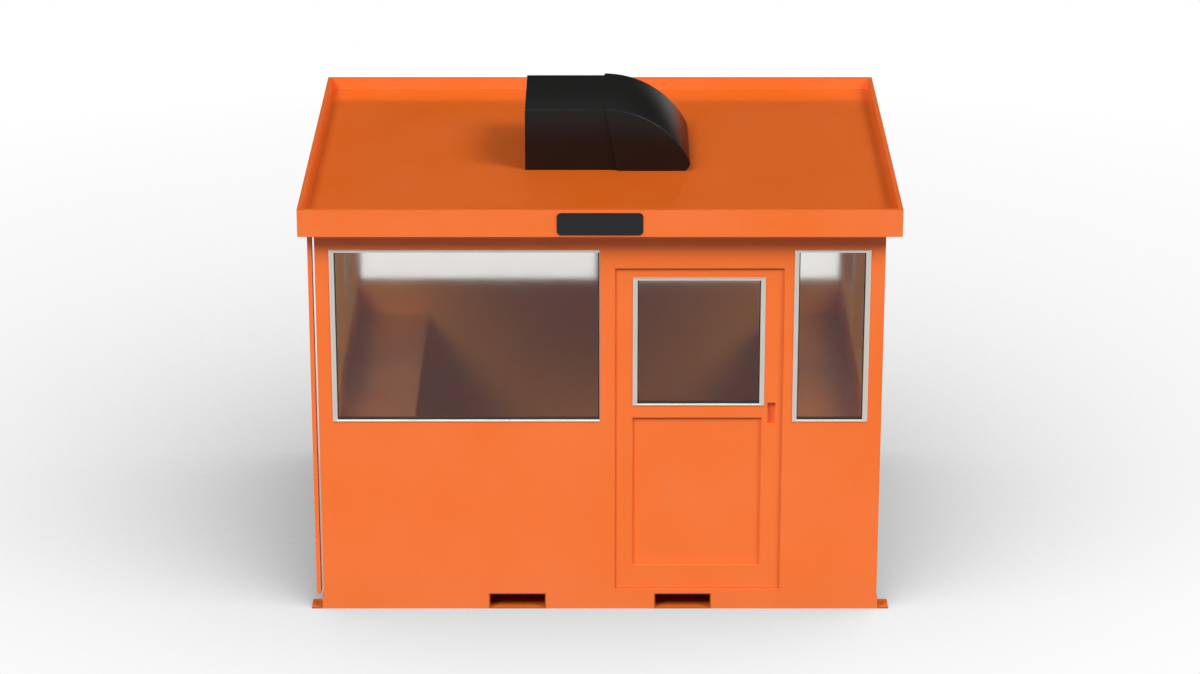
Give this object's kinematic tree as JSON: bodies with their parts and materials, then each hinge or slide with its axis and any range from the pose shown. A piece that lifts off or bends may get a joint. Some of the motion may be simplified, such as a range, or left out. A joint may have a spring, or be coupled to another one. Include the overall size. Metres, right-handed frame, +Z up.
{
  "type": "security guard booth",
  "caption": "Free-standing steel security guard booth with a tray roof, a hooded rooftop unit, windows on all sides, an inward-opening door and fork pockets in its base.",
  "frame": {"origin": "on the ground under the middle of the booth", "axes": "+X to the right seen from the front, +Y from the front to the rear, +Z up"},
  "size_m": [3.37, 2.61, 2.76],
  "materials": {
    "booth_orange": "satin orange paint",
    "roof_orange": "glossy orange paint",
    "frame_aluminium": "satin grey",
    "tinted_glass": "dark tinted",
    "unit_black": "satin black paint",
    "floor_board": "sealed board",
    "hinge_steel": "zinc plated"
  },
  "bodies": {
    "booth": {"base_rail_front": "booth_orange", "base_rail_rear": "booth_orange", "base_rail_left": "booth_orange", "base_rail_right": "booth_orange", "fork_pocket_left": "booth_orange", "fork_pocket_right": "booth_orange", "floor_joists": "booth_orange", "floor_board": "floor_board", "anchor_plates": "booth_orange", "corner_posts": "booth_orange", "front_wall_left": "booth_orange", "front_wall_right": "booth_orange", "centre_post": "booth_orange", "door_post": "booth_orange", "front_header": "booth_orange", "door_lintel": "booth_orange", "rear_wall": "booth_orange", "rear_header": "booth_orange", "left_wall": "booth_orange", "left_header": "booth_orange", "right_wall": "booth_orange", "right_header": "booth_orange", "window_mullions": "booth_orange", "front_window_frames": "frame_aluminium", "rear_window_frames": "frame_aluminium", "left_window_frames": "frame_aluminium", "right_window_frames": "frame_aluminium", "front_glass": "tinted_glass", "rear_glass": "tinted_glass", "left_glass": "tinted_glass", "right_glass": "tinted_glass", "roof_deck": "roof_orange", "fascia_front": "booth_orange", "fascia_rear": "booth_orange", "fascia_left": "booth_orange", "fascia_right": "booth_orange", "rooftop_case": "unit_black", "rooftop_hood": "unit_black", "downpipe": "booth_orange", "counters": "booth_orange", "hinge_brackets": "hinge_steel"},
    "door": {"door_leaf": "booth_orange", "door_window_frame": "frame_aluminium", "door_glass": "tinted_glass", "hinge_straps": "hinge_steel"}
  },
  "joints": [
    {"name": "door_swing", "type": "hinge", "parent": "booth", "child": "door", "pos_m": [0.0825, -1.1305, 1.107], "axis": [0, 0, 1], "range_deg": [0, 100]}
  ]
}
